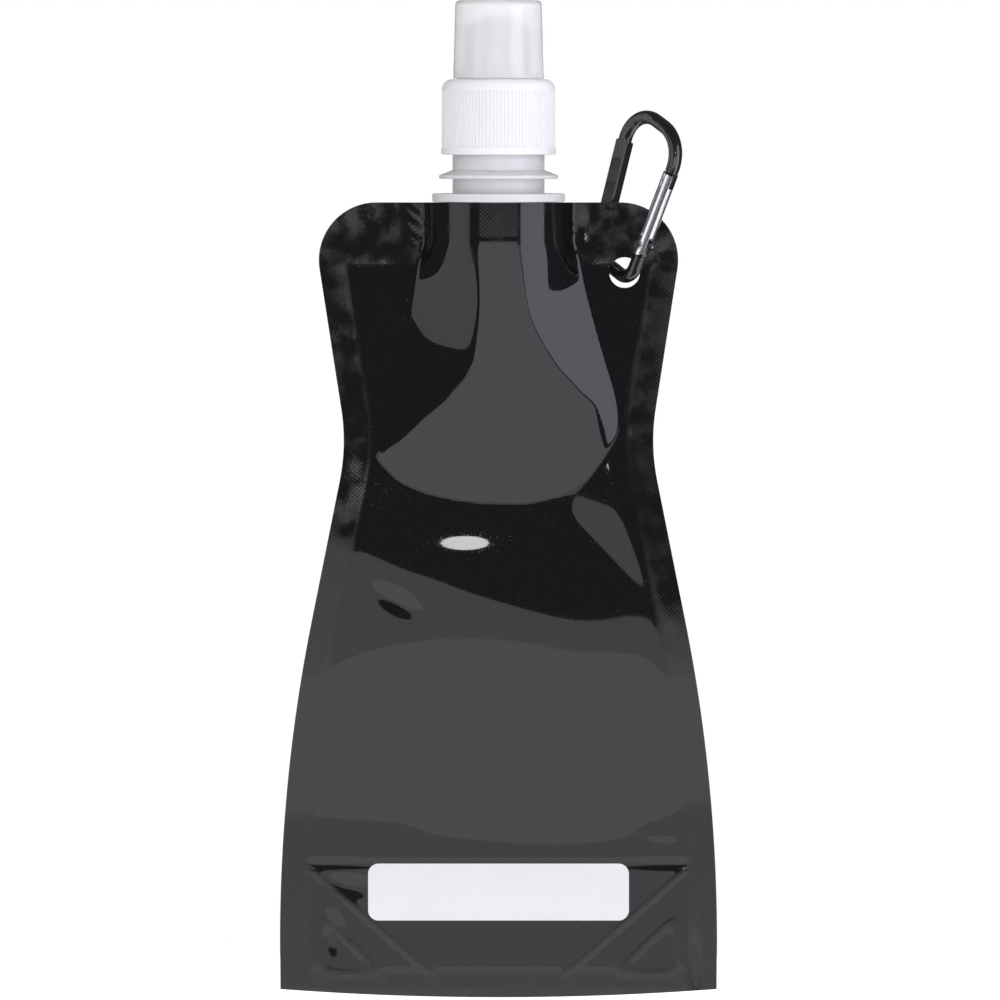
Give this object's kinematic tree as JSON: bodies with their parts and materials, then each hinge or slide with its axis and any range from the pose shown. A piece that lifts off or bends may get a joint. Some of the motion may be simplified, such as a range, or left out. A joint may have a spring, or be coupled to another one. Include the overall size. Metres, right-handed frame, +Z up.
{
  "type": "folding water bottle",
  "caption": "Flat film pouch with a welded spout, ribbed screw cap with a push-pull nozzle under a clear cover, and a clip-on carabiner.",
  "frame": {"origin": "on the bottle's axis, at the middle of the pouch's bottom edge, halfway between the two films", "axes": "+Z up the bottle towards the cap, +Y towards its back, +X to the right as seen from the front; the front, with the name label, faces -Y"},
  "size_m": [0.1182, 0.0358, 0.2692],
  "materials": {
    "film": "high-gloss dark grey laminate film",
    "gusset_film": "high-gloss dark grey laminate film",
    "label": "matt white write-on ink",
    "spout": "smooth white moulded polyethylene",
    "cap": "satin white moulded polypropylene",
    "liner": "soft white foam",
    "nozzle": "soft white moulding",
    "dust_cover": "cloudy clear polypropylene",
    "carabiner": "glossy black enamel",
    "gate": "bright polished",
    "rivet": "plain",
    "spring": "plain"
  },
  "bodies": {
    "pouch_top": {"front_film_top": "film", "back_film_top": "film", "spout": "spout"},
    "pouch_middle": {"front_film_middle": "film", "back_film_middle": "film"},
    "pouch_base": {"front_film_base": "film", "back_film_base": "film", "bottom_gusset": "gusset_film", "name_label": "label"},
    "cap_lift_body": {"cap_liner": "liner"},
    "cap": {"screw_cap": "cap"},
    "mouthpiece": {"nozzle": "nozzle"},
    "cover": {"dust_cover": "dust_cover"},
    "carabiner": {"carabiner_body": "carabiner", "gate_pivot_pin": "rivet"},
    "gate": {"carabiner_gate": "gate", "gate_latch_pin": "rivet", "spring_plunger": "rivet", "gate_spring": "spring"}
  },
  "joints": [
    {"name": "cap_lift", "type": "slide", "parent": "pouch_top", "child": "cap_lift_body", "axis": [0, 0, 1], "range_m": [0, 0.01909]},
    {"name": "cap_turn", "type": "hinge", "parent": "cap_lift_body", "child": "cap", "pos_m": [0, 0, 0.248], "axis": [0, 0, 1], "range_deg": [0, 2160]},
    {"name": "nozzle_pull", "type": "slide", "parent": "cap", "child": "mouthpiece", "axis": [0, 0, 1], "range_m": [0, 0.003]},
    {"name": "cover_pull", "type": "slide", "parent": "cap", "child": "cover", "axis": [0, 0, 1], "range_m": [0, 0.022]},
    {"name": "carabiner_swing", "type": "hinge", "parent": "pouch_top", "child": "carabiner", "pos_m": [0.034, 0, 0.1959], "axis": [0, 1, 0], "range_deg": [-20, 135]},
    {"name": "gate_open", "type": "hinge", "parent": "carabiner", "child": "gate", "pos_m": [0.03907, -0.00619, 0.20346], "axis": [-0.7388, -0.6725, 0.043], "range_deg": [0, 30], "stiffness_Nm_per_rad": 0.01, "springref_deg": -17.19},
    {"name": "fold_upper", "type": "hinge", "parent": "pouch_top", "child": "pouch_middle", "pos_m": [0, -0.0044, 0.104], "axis": [-1, 0, 0], "range_deg": [0, 160]},
    {"name": "fold_lower", "type": "hinge", "parent": "pouch_middle", "child": "pouch_base", "pos_m": [0, 0.0044, 0.052], "axis": [1, 0, 0], "range_deg": [0, 160]}
  ],
  "couplings": [
    {"joint": "cap_lift", "follows": "cap_turn", "m_per_rad": 0.00050611}
  ]
}
